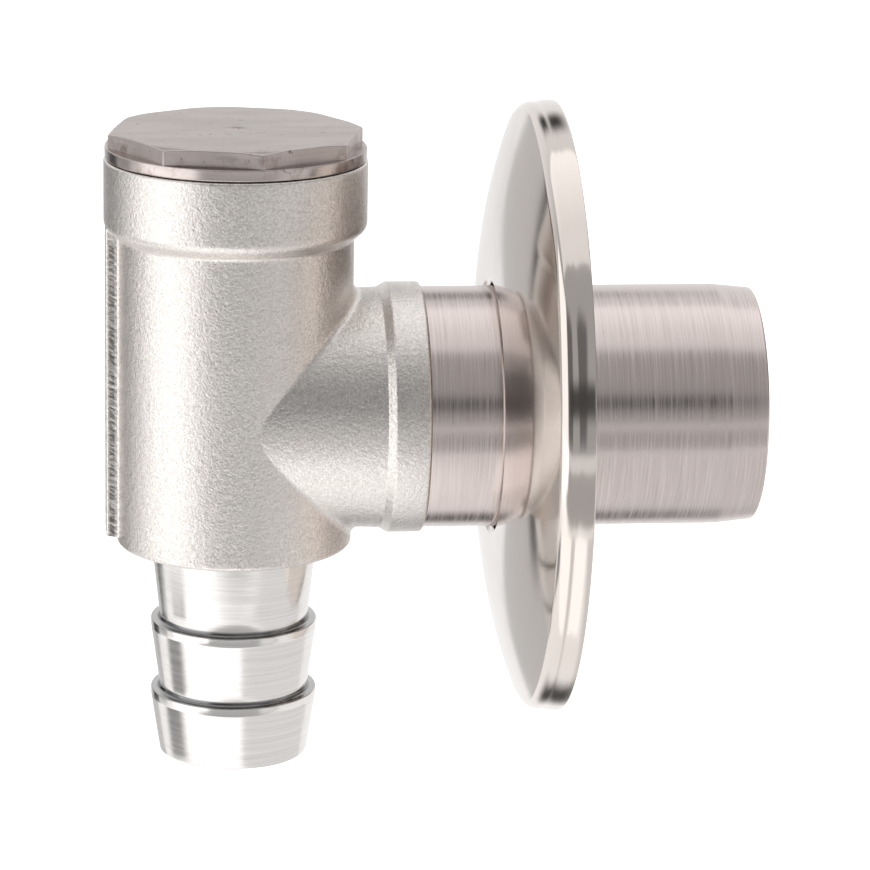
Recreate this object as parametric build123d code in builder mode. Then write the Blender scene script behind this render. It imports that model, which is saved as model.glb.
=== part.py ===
from build123d import *
from math import radians, sin, tan
import os

# Washing machine waste valve: a ball check valve that hangs on its wall outlet.
# The drain hose is clamped on the hose tail, and the water lifts a ball and leaves by the outlet pipe.
# Millimetres. The origin is on the outlet pipe's axis, in the plane of the finished wall.
# +X runs into the wall, and +Z runs up the valve to its screw cap.

# Outlet pipe
pipe_r = 16.0
pipe_wall = 3.0
wall_to_valve = 42.4
spigot_length = 26.5
lead_in_length = 5.0
lead_in_depth = 0.5
pipe_edge = 0.3
groove_back = 1.6
groove_width = 1.0
groove_depth = 0.3
nose_length = 7.0
nose_wall = 1.6

# Cast body
barrel_wall = 2.54
barrel_foot = 2.0
barrel_edge = 0.5
collar_step = 1.71
collar_top = 33.7
collar_height = 8.8
collar_slope = 1.5
branch_step = 0.24
branch_length = 8.9
branch_collar_step = 0.64
branch_collar_length = 4.44
branch_collar_slope = 1.1
branch_wall = 2.7
crease_fillet = 1.2
casting_fillet = 0.8
edge_break = 0.35

# Flat left on the barrel where the casting's gate was cut off
gate_width = 4.8
gate_proud = 1.5
gate_into_slope = 0.9
gate_above_foot = 1.0
gate_edge = 0.3

# Screw cap
head_flat_in = 1.45
head_sides = 8
head_turn = -36.8
head_height = 2.15
head_bevel_in = 1.15
head_bevel = 15.0
flange_step = 0.15
flange_height = 1.55
flange_bevel = 0.25
cap_joint = 0.1
cap_roof = 4.5
cap_wall = 2.45
skirt_wall = 2.5
skirt_edge = 0.4
thread_length = 6.0
thread_spare = 0.6
centre_mark_r = 0.45

# Hose tail
tail_nose_wall = 1.4
tail_nose_step = 2.05
tail_wall = 1.35
tail_spigot = 4.1
barb_height = 1.19
shank_step = 0.14
shank_length = 10.6
barb_count = 2
barb_pitch = 9.64
tail_end_length = 8.8
tail_end_edge = 0.35
barb_edge = 0.12
barb_land = 1.1

# Ball, seat and cage
ball_play = 0.8
ball_skin = 1.5
ball_gap = 0.1
floor_thickness = 1.6
seat_ledge = 3.0
seat_height = 4.4
seat_bore_step = 1.5
seat_rim = 2.7
cage_wall = 1.6
cage_ring = 1.6
cage_ribs = 4
cage_rib_width = 3.0
cage_play = 0.2

# Wall rosette
rosette_r = 41.1
rosette_depth = 8.5
rosette_sheet = 0.7
rosette_bend = 0.9
neck_gap = 0.35
neck_length = 2.4
flat_width = 0.15
edge_in = 1.9
edge_back = 4.45
valley_in = 0.9
valley_back = 2.0

# Seal rings: the radius of each ring's round section
cap_seal_r = 0.95
tail_seal_r = 0.9
outlet_seal_r = 0.65
seat_seal_r = 0.8
grip_ring_r = 0.95

# Clearances: a turned fit, a seal in its groove, loose inner pieces, the grip ring on the pipe
fit = 0.05
seal_gap = 0.05
loose = 0.1
grip_gap = 0.1

# How near an edge lies to the place where it is picked
hair = 0.01

# Planes and axes
valve_x = -wall_to_valve
upright_section = Plane(origin=(valve_x, 0, 0), x_dir=(1, 0, 0), z_dir=(0, -1, 0))
upright_axis = Axis((valve_x, 0, 0), (0, 0, 1))
outlet_section = Plane.XZ
outlet_axis = Axis.X

# Radii round the upright axis: the chamber is bored as wide as the pipe, and the rest follows from it
pipe_bore_r = pipe_r - pipe_wall
chamber_r = pipe_bore_r
floor_bore_r = chamber_r - seat_ledge
tail_nose_r = floor_bore_r - loose
tail_bore_r = tail_nose_r - tail_nose_wall
tail_thread_r = tail_nose_r + tail_nose_step
tail_socket_r = tail_thread_r + fit
barb_foot_r = tail_bore_r + tail_wall
barb_r = barb_foot_r + barb_height
shank_r = barb_r - shank_step
cage_r = chamber_r - loose
cage_bore_r = cage_r - cage_wall
ball_r = cage_bore_r - ball_play
seat_bore_r = tail_bore_r - seat_bore_step
seat_land_r = cage_r - seat_rim
barrel_r = chamber_r + barrel_wall
collar_r = barrel_r + collar_step
thread_r = collar_r - cap_wall
neck_r = thread_r - cap_seal_r
counterbore_r = neck_r + 2 * (cap_seal_r + seal_gap)
skirt_r = thread_r - fit
skirt_bore_r = skirt_r - skirt_wall
flange_r = collar_r - flange_step
head_top_r = flange_r - head_bevel_in

# The branch is as thick as the pipe where its collar starts, and the barrel reaches below it
branch_root_r = barrel_r - branch_step
branch_bore_r = branch_root_r - branch_wall
branch_r = pipe_r
branch_collar_r = pipe_r + branch_collar_step
barrel_below = branch_r + barrel_foot

# Heights that several pieces share
tail_shoulder = -barrel_below + tail_spigot
tail_top = tail_shoulder + 2 * (tail_seal_r + seal_gap)
floor_top = tail_top + floor_thickness
seat_top = floor_top + seat_height
cap_seal_groove = 2 * (cap_seal_r + seal_gap)
slope_top = collar_top - collar_height
slope_foot = slope_top - collar_slope
skirt_top = collar_top - cap_seal_groove
skirt_end = skirt_top - thread_length
thread_end = skirt_end - thread_spare
flange_base = collar_top + cap_joint
head_base = flange_base + flange_height
head_top = head_base + head_height
roof = head_top - cap_roof

# The outlet's joint and bores along X
branch_end = valve_x + barrel_r + branch_length
collar_start = branch_end - branch_collar_length
nose_r = pipe_bore_r + nose_wall
socket_r = nose_r + fit
nose_tip = branch_end - nose_length
socket_floor = nose_tip - 2 * (outlet_seal_r + seal_gap)

# The ball rests on the seat's 45 degree cone, and rises to the cap's roof
ball_45 = ball_r * sin(radians(45))
seat_cone_foot = seat_top - (seat_land_r - seat_bore_r)
ball_rest = seat_cone_foot + (ball_45 - seat_bore_r) + ball_45 + ball_gap
ball_lift = roof - ball_gap - ball_r - ball_rest


def turned(points, section, axis):
    """A piece turned on a lathe: the closed outline in the section plane, revolved about the axis."""
    with BuildPart() as piece:
        with BuildSketch(section):
            with BuildLine():
                Polyline(*points, close=True)
            make_face()
        revolve(axis=axis)
    return piece


def seal_ring(centre, section_r, section, axis):
    """An O-ring: a round section at its centre in the section plane, turned about the axis."""
    with BuildPart() as ring:
        with BuildSketch(section):
            with Locations(centre):
                Circle(section_r)
        revolve(axis=axis)
    return ring


def ring_edges(piece, axis, along, radius):
    """The full round edges of a turned piece that lie at one place on the axis, of one radius."""
    circles = piece.edges().filter_by(GeomType.CIRCLE)
    level = circles.filter_by_position(axis, along - hair, along + hair)
    return level.filter_by(lambda edge: abs(edge.radius - radius) < hair)


# Cast body: the barrel with its cap collar, and the branch with its collar
with BuildPart() as valve_body:
    with BuildSketch(upright_section):
        with BuildLine():
            Polyline(
                (0, -barrel_below),
                (barrel_r, -barrel_below),
                (barrel_r, slope_foot),
                (collar_r, slope_top),
                (collar_r, collar_top),
                (0, collar_top),
                close=True,
            )
        make_face()
    revolve(axis=upright_axis)
    with BuildSketch(outlet_section):
        with BuildLine():
            Polyline(
                (valve_x, 0),
                (valve_x, branch_root_r),
                (collar_start - branch_collar_slope, branch_r),
                (collar_start, branch_collar_r),
                (branch_end, branch_collar_r),
                (branch_end, 0),
                close=True,
            )
        make_face()
    revolve(axis=outlet_axis)

    # Casting fillets: the crease of the tee, the collars' slopes and the outer edges
    fillet(valve_body.edges().filter_by(GeomType.BSPLINE), crease_fillet)
    fillet(ring_edges(valve_body, Axis.Z, slope_top, collar_r), 2 * casting_fillet)
    fillet(ring_edges(valve_body, Axis.Z, slope_foot, barrel_r), casting_fillet)
    fillet(ring_edges(valve_body, Axis.Z, -barrel_below, barrel_r), barrel_edge)
    fillet(ring_edges(valve_body, Axis.Z, collar_top, collar_r), edge_break)
    fillet(ring_edges(valve_body, Axis.X, collar_start, branch_collar_r), casting_fillet)
    fillet(ring_edges(valve_body, Axis.X, branch_end, branch_collar_r), edge_break)

    # The gate's flat stands on the side away from the wall and runs up into the collar's slope
    gate_bottom = gate_above_foot - barrel_below
    gate_top = slope_foot + gate_into_slope
    with BuildSketch(Plane.XY.offset(gate_bottom)):
        with Locations((valve_x - barrel_r, 0)):
            Rectangle(2 * gate_proud, gate_width)
    extrude(amount=gate_top - gate_bottom)
    gate_face = valve_body.faces().filter_by(Axis.X).sort_by(Axis.X)[0]
    fillet(gate_face.edges(), gate_edge)

    # Bores: the cap's seal and thread, the chamber, its floor and the hose tail's socket
    with BuildSketch(upright_section):
        with BuildLine():
            Polyline(
                (0, collar_top),
                (counterbore_r, collar_top),
                (counterbore_r, skirt_top),
                (thread_r, skirt_top),
                (thread_r, thread_end),
                (chamber_r, thread_end),
                (chamber_r, floor_top),
                (floor_bore_r, floor_top),
                (floor_bore_r, tail_top),
                (tail_socket_r, tail_top),
                (tail_socket_r, -barrel_below),
                (0, -barrel_below),
                close=True,
            )
        make_face()
    revolve(axis=upright_axis, mode=Mode.SUBTRACT)

    # The cored passage to the branch has a flat bottom, level with the chamber's floor
    with BuildSketch(Plane.YZ.offset(valve_x)):
        Circle(branch_bore_r)
        with Locations((0, floor_top)):
            Rectangle(2 * branch_bore_r, branch_bore_r, align=(Align.CENTER, Align.MAX), mode=Mode.SUBTRACT)
    extrude(amount=socket_floor - valve_x, mode=Mode.SUBTRACT)
    with BuildSketch(Plane.YZ.offset(socket_floor)):
        Circle(socket_r)
    extrude(amount=branch_end - socket_floor, mode=Mode.SUBTRACT)
valve_body.part.label = "valve_body"

# Screw cap: a hollow threaded skirt, a flange that closes the collar and an octagon for the spanner
with BuildPart() as screw_cap:
    with BuildSketch(upright_section):
        with BuildLine():
            Polyline(
                (0, roof),
                (skirt_bore_r, roof),
                (skirt_bore_r, skirt_end),
                (skirt_r - skirt_edge, skirt_end),
                (skirt_r, skirt_end + skirt_edge),
                (skirt_r, skirt_top),
                (neck_r, skirt_top),
                (neck_r, flange_base),
                (flange_r - flange_bevel, flange_base),
                (flange_r, flange_base + flange_bevel),
                (flange_r, head_base),
                (0, head_base),
                close=True,
            )
        make_face()
    revolve(axis=upright_axis)
    with BuildSketch(Plane((valve_x, 0, head_base))):
        RegularPolygon(flange_r - head_flat_in, head_sides, major_radius=False, rotation=head_turn)
    extrude(amount=head_height)
    # The head's top is turned to a round bevel, with the lathe's centre mark in the middle
    bevel_reach = flange_r - head_top_r
    with BuildSketch(upright_section):
        with BuildLine():
            Polyline(
                (head_top_r, head_top),
                (flange_r, head_top),
                (flange_r, head_top - bevel_reach * tan(radians(head_bevel))),
                close=True,
            )
        make_face()
        with BuildLine():
            Polyline((0, head_top), (centre_mark_r, head_top), (0, head_top - centre_mark_r), close=True)
        make_face()
    revolve(axis=upright_axis, mode=Mode.SUBTRACT)
screw_cap.part.label = "screw_cap"

cap_seal = seal_ring(
    (neck_r + cap_seal_groove / 2, skirt_top + cap_seal_groove / 2), cap_seal_r, upright_section, upright_axis
)
cap_seal.part.label = "cap_seal"

# Hose tail: a threaded spigot with a nose for its seal, and barbs that each taper down from a short level land
shank_foot = -barrel_below - shank_length
barb_tops = [shank_foot - barb_pitch * i for i in range(barb_count)]
tail_end = barb_tops[-1] - tail_end_length
tail_outline = [
    (tail_bore_r, tail_top),
    (tail_nose_r, tail_top),
    (tail_nose_r, tail_shoulder),
    (tail_thread_r, tail_shoulder),
    (tail_thread_r, -barrel_below),
    (shank_r, -barrel_below),
    (shank_r, -barrel_below - barb_land),
]
for barb_top in barb_tops:
    tail_outline += [
        (barb_foot_r, barb_top),
        (barb_r - barb_edge, barb_top),
        (barb_r, barb_top - barb_edge),
        (barb_r, barb_top - barb_land),
    ]
tail_outline += [
    (barb_foot_r, tail_end + tail_end_edge),
    (barb_foot_r - tail_end_edge, tail_end),
    (tail_bore_r, tail_end),
]
hose_tail = turned(tail_outline, upright_section, upright_axis)
hose_tail.part.label = "hose_tail"

tail_seal = seal_ring(
    (tail_socket_r - seal_gap - tail_seal_r, tail_top - seal_gap - tail_seal_r),
    tail_seal_r,
    upright_section,
    upright_axis,
)
tail_seal.part.label = "hose_tail_seal"

# Seat ring: loose on the chamber's floor, with a cone for the ball and a groove underneath for its seal
seat_seal_x = (floor_bore_r + cage_r) / 2
seat_groove = seat_seal_r + seal_gap
seat_outline = [
    (seat_bore_r, floor_top),
    (seat_seal_x - seat_groove, floor_top),
    (seat_seal_x - seat_groove, floor_top + 2 * seat_groove),
    (seat_seal_x + seat_groove, floor_top + 2 * seat_groove),
    (seat_seal_x + seat_groove, floor_top),
    (cage_r, floor_top),
    (cage_r, seat_top),
    (seat_land_r, seat_top),
    (seat_bore_r, seat_cone_foot),
]
seat_ring = turned(seat_outline, upright_section, upright_axis)
seat_ring.part.label = "seat_ring"

seat_seal = seal_ring((seat_seal_x, floor_top + seat_groove), seat_seal_r, upright_section, upright_axis)
seat_seal.part.label = "seat_ring_seal"

# Check ball: a hard core with a moulded rubber coat
with BuildPart() as ball_core:
    with Locations((valve_x, 0, ball_rest)):
        Sphere(ball_r - ball_skin)
ball_core.part.label = "ball_core"

with BuildPart() as ball_coat:
    with Locations((valve_x, 0, ball_rest)):
        Sphere(ball_r)
        Sphere(ball_r - ball_skin, mode=Mode.SUBTRACT)
ball_coat.part.label = "ball_coat"

# Ball cage: a ring on the seat, ribs clear of the passage to the branch, and a ring under the cap's skirt
cage_top = skirt_end - cage_play
with BuildPart() as ball_cage:
    with BuildSketch(Plane((valve_x, 0, seat_top))):
        Circle(cage_r)
        Circle(cage_bore_r, mode=Mode.SUBTRACT)
    extrude(amount=cage_ring)
    with BuildSketch(Plane((valve_x, 0, cage_top))):
        Circle(cage_r)
        Circle(cage_bore_r, mode=Mode.SUBTRACT)
    extrude(amount=-cage_ring)
    with BuildSketch(Plane((valve_x, 0, seat_top))):
        with PolarLocations(cage_r, cage_ribs, start_angle=180 / cage_ribs):
            Rectangle(4 * cage_wall, cage_rib_width)
        Circle(cage_r, mode=Mode.INTERSECT)
        Circle(cage_bore_r, mode=Mode.SUBTRACT)
    extrude(amount=cage_top - seat_top)
ball_cage.part.label = "ball_cage"

# Outlet pipe: a nose in the branch's socket, a shoulder on its collar, and the spigot into the wall
pipe_outline = [
    (nose_tip, pipe_bore_r),
    (nose_tip, nose_r),
    (branch_end + fit, nose_r),
    (branch_end + fit, pipe_r - pipe_edge),
    (branch_end + fit + pipe_edge, pipe_r),
    (-groove_back - groove_width, pipe_r),
    (-groove_back - groove_width, pipe_r - groove_depth),
    (-groove_back, pipe_r - groove_depth),
    (-groove_back, pipe_r),
    (spigot_length - lead_in_length, pipe_r),
    (spigot_length - pipe_edge, pipe_r - lead_in_depth),
    (spigot_length, pipe_r - lead_in_depth - pipe_edge),
    (spigot_length, pipe_bore_r),
]
outlet_pipe = turned(pipe_outline, outlet_section, outlet_axis)
outlet_pipe.part.label = "outlet_pipe"

outlet_seal = seal_ring(
    (nose_tip - seal_gap - outlet_seal_r, socket_r - seal_gap - outlet_seal_r),
    outlet_seal_r,
    outlet_section,
    outlet_axis,
)
outlet_seal.part.label = "outlet_seal"

# Wall rosette: a pressed sheet, domed away from the wall, with a valley and a flared lip at its rim
# Its neck runs back along the pipe to a rolled pocket for the rubber ring that grips the pipe
neck_r_inner = pipe_r + neck_gap
neck_end = -rosette_depth + neck_length
grip_centre_r = pipe_r + grip_gap + grip_ring_r
pocket_r = grip_centre_r + grip_ring_r + seal_gap
pocket_end = neck_end + 2 * (grip_ring_r + seal_gap)
valley_r = rosette_r - valley_in
lip_slope = valley_in / valley_back
with BuildPart() as rosette:
    with BuildSketch(outlet_section) as sheet:
        with BuildLine():
            neck = Polyline(
                (pocket_end, grip_centre_r),
                (pocket_end, pocket_r),
                (neck_end, pocket_r),
                (neck_end, neck_r_inner),
                (-rosette_depth, neck_r_inner),
                (-rosette_depth, neck_r_inner + rosette_bend + flat_width),
            )
            crown = TangentArc(neck @ 1, (-edge_back, rosette_r - edge_in), tangent=(0, 1))
            dome = TangentArc(crown @ 1, (-valley_back, valley_r), tangent=crown % 1)
            Line(dome @ 1, (valley_back, rosette_r + lip_slope * valley_back))
            offset(amount=rosette_sheet, side=Side.RIGHT, kind=Kind.ARC)
        make_face()
        fillet(sheet.vertices().sort_by_distance((-rosette_depth, neck_r_inner))[0], rosette_bend)
        wall_side = (Align.MIN, Align.CENTER)
        Rectangle(2 * valley_back + rosette_sheet, 4 * rosette_r, align=wall_side, mode=Mode.SUBTRACT)
    revolve(axis=outlet_axis)
rosette.part.label = "rosette"

grip_ring = seal_ring(
    (neck_end + seal_gap + grip_ring_r, grip_centre_r), grip_ring_r, outlet_section, outlet_axis
)
grip_ring.part.label = "rosette_grip_ring"

os.makedirs("parts", exist_ok=True)
export_step(valve_body.part, "parts/valve_body.step")
export_step(screw_cap.part, "parts/screw_cap.step")
export_step(cap_seal.part, "parts/cap_seal.step")
export_step(hose_tail.part, "parts/hose_tail.step")
export_step(tail_seal.part, "parts/hose_tail_seal.step")
export_step(seat_ring.part, "parts/seat_ring.step")
export_step(seat_seal.part, "parts/seat_ring_seal.step")
export_step(ball_core.part, "parts/ball_core.step")
export_step(ball_coat.part, "parts/ball_coat.step")
export_step(ball_cage.part, "parts/ball_cage.step")
export_step(outlet_pipe.part, "parts/outlet_pipe.step")
export_step(outlet_seal.part, "parts/outlet_seal.step")
export_step(rosette.part, "parts/rosette.step")
export_step(grip_ring.part, "parts/rosette_grip_ring.step")
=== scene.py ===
"""A stainless washing machine waste valve, dressed for its picture.

The cast body, screw cap, hose tail, outlet pipe, rosette and ball are surfaces worked out here.
The seals, the seat and the ball's cage are the frame's own solids with better finishes.
Sizes are written in millimetres and turned into metres as each surface becomes a mesh.
"""

import bmesh
import bpy
import numpy as np
from mathutils import Matrix


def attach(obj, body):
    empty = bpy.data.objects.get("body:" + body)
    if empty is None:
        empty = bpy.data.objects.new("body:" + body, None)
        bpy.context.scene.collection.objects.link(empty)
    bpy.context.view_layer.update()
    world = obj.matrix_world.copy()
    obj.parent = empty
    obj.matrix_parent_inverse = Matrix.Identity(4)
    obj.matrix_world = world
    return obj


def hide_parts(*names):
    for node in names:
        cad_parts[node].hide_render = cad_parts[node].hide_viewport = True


MM = 0.001

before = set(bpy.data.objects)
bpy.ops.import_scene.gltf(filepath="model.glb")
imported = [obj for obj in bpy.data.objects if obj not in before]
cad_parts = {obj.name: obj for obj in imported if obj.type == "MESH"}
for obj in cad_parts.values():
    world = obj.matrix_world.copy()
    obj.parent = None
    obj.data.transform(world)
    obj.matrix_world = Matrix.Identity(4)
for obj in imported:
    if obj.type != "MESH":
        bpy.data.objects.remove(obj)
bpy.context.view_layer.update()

# Sizes in millimetres, as in the part: +X runs into the wall, and +Z runs up the valve
VALVE_X = -42.4
BARREL_R = 15.54
BARREL_FOOT = -18.0
BARREL_EDGE = 0.5
COLLAR_R = 17.25
COLLAR_TOP = 33.7
SLOPE_FOOT = 23.4
SLOPE_TOP = 24.9
SLOPE_FOOT_FILLET = 0.8
SLOPE_TOP_FILLET = 1.6
BRANCH_ROOT_R = 15.3
BRANCH_R = 16.0
BRANCH_CONE = 18.9
BRANCH_COLLAR = 20.0
BRANCH_END = 24.44
BRANCH_COLLAR_R = 16.64
CREASE = 1.2
EDGE_BREAK = 0.35
GATE_BOTTOM = -17.0
GATE_PROUD = 1.5
GATE_HALF = 2.4
GATE_EDGE = 0.3
GATE_FOOT = 0.4
CHAMBER_R = 13.0
THREAD_R = 14.8
THREAD_PITCH = 1.5
COUNTERBORE_R = 15.85
SKIRT_TOP = 31.7
THREAD_END = 25.1
FLOOR_TOP = -10.4
FLOOR_BORE_R = 10.0
TAIL_SOCKET_R = 12.0
TAIL_TOP = -12.0
PASSAGE_R = 12.6
SOCKET_R = 14.65
SOCKET_FLOOR = 16.04


# Profiles and grids


def rounded(points, radii, steps=6):
    """An open profile with its corners turned to arcs.

    At a corner of radius r and opening angle a, the arc starts and ends r / tan(a / 2) from the corner.
    Its centre lies r / sin(a / 2) from the corner, on the line that halves the angle.
    """
    points = np.asarray(points, float)
    pieces = [points[:1]]
    for before, corner, after, radius in zip(points[:-2], points[1:-1], points[2:], radii):
        if radius <= 0:
            pieces.append(corner[None])
            continue
        back = (before - corner) / np.linalg.norm(before - corner)
        on = (after - corner) / np.linalg.norm(after - corner)
        half = np.arccos(np.clip(back @ on, -1, 1)) / 2
        middle = (back + on) / np.linalg.norm(back + on)
        centre = corner + middle * radius / np.sin(half)
        start = corner + back * radius / np.tan(half) - centre
        end = corner + on * radius / np.tan(half) - centre
        turn = np.pi - 2 * half
        t = np.linspace(0, 1, steps + 1)[:, None]
        pieces.append(centre + (np.sin((1 - t) * turn) * start + np.sin(t * turn) * end) / np.sin(turn))
    pieces.append(points[-1:])
    return np.concatenate(pieces)


def split_long(profile, longest):
    """A profile with extra points, evenly spaced, wherever two neighbours lie further apart than the longest step."""
    pieces = [profile[:1]]
    for a, b in zip(profile[:-1], profile[1:]):
        count = max(1, int(np.ceil(np.linalg.norm(b - a) / longest)))
        t = np.linspace(0, 1, count + 1)[1:, None]
        pieces.append(a + t * (b - a))
    return np.concatenate(pieces)


def upright(along, radius, angle):
    """Points round the valve's upright axis: x and y are the radius times the angle's cosine and sine."""
    along, radius, angle = np.broadcast_arrays(along, radius, angle)
    return np.stack([VALVE_X + radius * np.cos(angle), radius * np.sin(angle), along], axis=-1)


def outlet(along, radius, angle):
    """Points round the outlet's axis: z and y are the radius times the angle's cosine and sine."""
    along, radius, angle = np.broadcast_arrays(along, radius, angle)
    return np.stack([along, radius * np.sin(angle), radius * np.cos(angle)], axis=-1)


def turned(profile, place, columns, swell=None):
    """A closed profile of (along, radius) carried once round an axis.

    The swell, where there is one, is a function of angle and place along the axis that is added to the radius.
    """
    profile = np.asarray(profile, float)
    angle = np.linspace(0, 2 * np.pi, columns, endpoint=False)[None, :]
    along, radius = profile[:, :1], profile[:, 1:]
    if swell is not None:
        radius = radius + swell(angle, along)
    return place(along, radius, angle)


def quads(rows, columns, wrap_rows, wrap_columns):
    """Corner numbers of a grid's faces: each point with its right, lower right and lower neighbours."""
    i = np.arange(rows if wrap_rows else rows - 1)[:, None]
    j = np.arange(columns if wrap_columns else columns - 1)[None, :]
    i, j = np.broadcast_arrays(i, j)
    k, m = (i + 1) % rows, (j + 1) % columns
    return np.stack([i * columns + j, i * columns + m, k * columns + m, k * columns + j], axis=-1).reshape(-1, 4)


def surface(name, grids, sharp_from=32.0, weld=2e-6, turning_map=False):
    """One mesh object from point grids, given as (points, wrap rows, wrap columns).

    Shared borders are welded, faces are turned outwards, and edges sharper than the angle stay sharp.
    The turning map, where asked for, runs once round each grid in u and along the profile in v.
    """
    corners, faces, maps = [], [], []
    count = 0
    for points, wrap_rows, wrap_columns in grids:
        rows, columns = points.shape[:2]
        corners.append(points.reshape(-1, 3))
        faces.append(quads(rows, columns, wrap_rows, wrap_columns) + count)
        count += rows * columns
        if turning_map:
            i = np.arange(rows if wrap_rows else rows - 1)[:, None]
            j = np.arange(columns if wrap_columns else columns - 1)[None, :]
            i, j = np.broadcast_arrays(i, j)
            u = np.stack([j, j + 1, j + 1, j], axis=-1) / columns
            v = np.stack([i, i, i + 1, i + 1], axis=-1) / rows
            maps.append(np.stack([u, v], axis=-1).reshape(-1, 2))
    corners = np.concatenate(corners) * MM
    faces = np.concatenate(faces)
    mesh = bpy.data.meshes.new(name)
    mesh.vertices.add(len(corners))
    mesh.vertices.foreach_set("co", corners.ravel())
    mesh.loops.add(faces.size)
    mesh.loops.foreach_set("vertex_index", faces.ravel())
    mesh.polygons.add(len(faces))
    mesh.polygons.foreach_set("loop_start", np.arange(0, faces.size, 4))
    mesh.update()
    if turning_map:
        layer = mesh.uv_layers.new(name="turning")
        layer.uv.foreach_set("vector", np.concatenate(maps).ravel())
    mesh.validate()
    made = bmesh.new()
    made.from_mesh(mesh)
    bmesh.ops.remove_doubles(made, verts=made.verts, dist=weld)
    bmesh.ops.recalc_face_normals(made, faces=made.faces)
    made.to_mesh(mesh)
    made.free()
    piece = bpy.data.objects.new(name, mesh)
    bpy.context.scene.collection.objects.link(piece)
    smooth(mesh, sharp_from)
    return piece


def smooth(mesh, sharp_from):
    """Smooth shading, with edges that turn by more than the angle in degrees kept sharp."""
    mesh.polygons.foreach_set("use_smooth", np.ones(len(mesh.polygons), bool))
    mesh.set_sharp_from_angle(angle=np.radians(sharp_from))


def bored(piece, cutters, sharp_from=32.0):
    """The piece with the space of each closed cutter taken out of it."""
    for number, cutter in enumerate(cutters):
        bore = piece.modifiers.new(f"bore {number}", "BOOLEAN")
        bore.operation = "DIFFERENCE"
        bore.solver = "EXACT"
        bore.object = cutter
    bpy.context.view_layer.update()
    seen = piece.evaluated_get(bpy.context.evaluated_depsgraph_get())
    cut = bpy.data.meshes.new_from_object(seen)
    piece.modifiers.clear()
    old = piece.data
    name = old.name
    piece.data = cut
    bpy.data.meshes.remove(old)
    cut.name = name
    for cutter in cutters:
        shape = cutter.data
        bpy.data.objects.remove(cutter)
        bpy.data.meshes.remove(shape)
    smooth(cut, sharp_from)
    return piece


def even_faces(piece):
    """Shading led by the large faces, so that flats stay flat beside small rounded edges."""
    weighted = piece.modifiers.new("even faces", "WEIGHTED_NORMAL")
    weighted.mode = "FACE_AREA"
    weighted.keep_sharp = True
    return piece


# Cast body


def crease_centre(angle):
    """Where the middle of a ball lies that rolls in the crease of the tee, for an angle round the branch.

    It keeps its own radius clear of both the barrel and the branch's cone.
    So its x solves x squared plus y squared = barrel + ball, squared, with y on the cone's offset.
    """
    taper = (BRANCH_R - BRANCH_ROOT_R) / BRANCH_CONE
    slant = np.sqrt(1 + taper**2)
    reach = BARREL_R + CREASE
    start = BRANCH_ROOT_R + CREASE * slant
    side = np.sin(angle) ** 2
    a = 1 + taper**2 * side
    b = 2 * start * taper * side
    c = start**2 * side - reach**2
    x = (-b + np.sqrt(b**2 - 4 * a * c)) / (2 * a)
    radius = start + taper * x
    centre = np.stack([x, radius * np.sin(angle), radius * np.cos(angle)], axis=-1)
    on_barrel = centre * np.array([BARREL_R / reach, BARREL_R / reach, 1.0])
    normal = np.stack([np.full_like(angle, -taper), np.sin(angle), np.cos(angle)], axis=-1) / slant
    on_branch = centre - CREASE * normal
    return centre, on_barrel, on_branch


def gate_profile():
    """Half of the gate's section, as (x, y) from the barrel's axis, from its foot on the barrel to its middle.

    The foot is an arc that touches the barrel and the gate's side, and the edge is an arc to the flat.
    """
    foot_y = GATE_HALF + GATE_FOOT
    foot_x = -np.sqrt((BARREL_R + GATE_FOOT) ** 2 - foot_y**2)
    foot = np.array([foot_x, foot_y])
    start = np.arctan2(-foot_y, -foot_x)
    end = -np.pi / 2
    sweep = np.linspace(start, end, 6)[:, None]
    foot_arc = foot + GATE_FOOT * np.concatenate([np.cos(sweep), np.sin(sweep)], axis=1)
    front = -(BARREL_R + GATE_PROUD)
    edge = np.array([front + GATE_EDGE, GATE_HALF - GATE_EDGE])
    sweep = np.linspace(np.pi / 2, np.pi, 5)[:, None]
    edge_arc = edge + GATE_EDGE * np.concatenate([np.cos(sweep), np.sin(sweep)], axis=1)
    side_x = np.linspace(foot_x + 0.02, front + GATE_EDGE, 9)[1:-1]
    side = np.stack([side_x, np.full(7, GATE_HALF)], axis=1)
    flat = np.stack([np.full(9, front), np.linspace(GATE_HALF - GATE_EDGE, 0, 10)[1:]], axis=1)
    return np.concatenate([foot_arc, side, edge_arc, flat])


def saw_marks(across, z):
    """Depth of the rough cut that a saw left on the gate: slanting ridges with a seeded ripple."""
    chance = np.random.default_rng(7)
    waves = chance.uniform([1.2, 3.0, 0.0], [4.5, 9.0, 6.28], (24, 3))
    height = sum(np.sin(over * across + up * z + phase) for over, up, phase in waves)
    ridges = np.abs(np.sin(4.1 * z + 2.6 * across + 2.3 * np.sin(0.9 * z) + 1.1 * np.sin(2.3 * z + 1.0)))
    return np.clip(0.008 * height + 0.02 * ridges, 0.0, 0.08)


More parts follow.
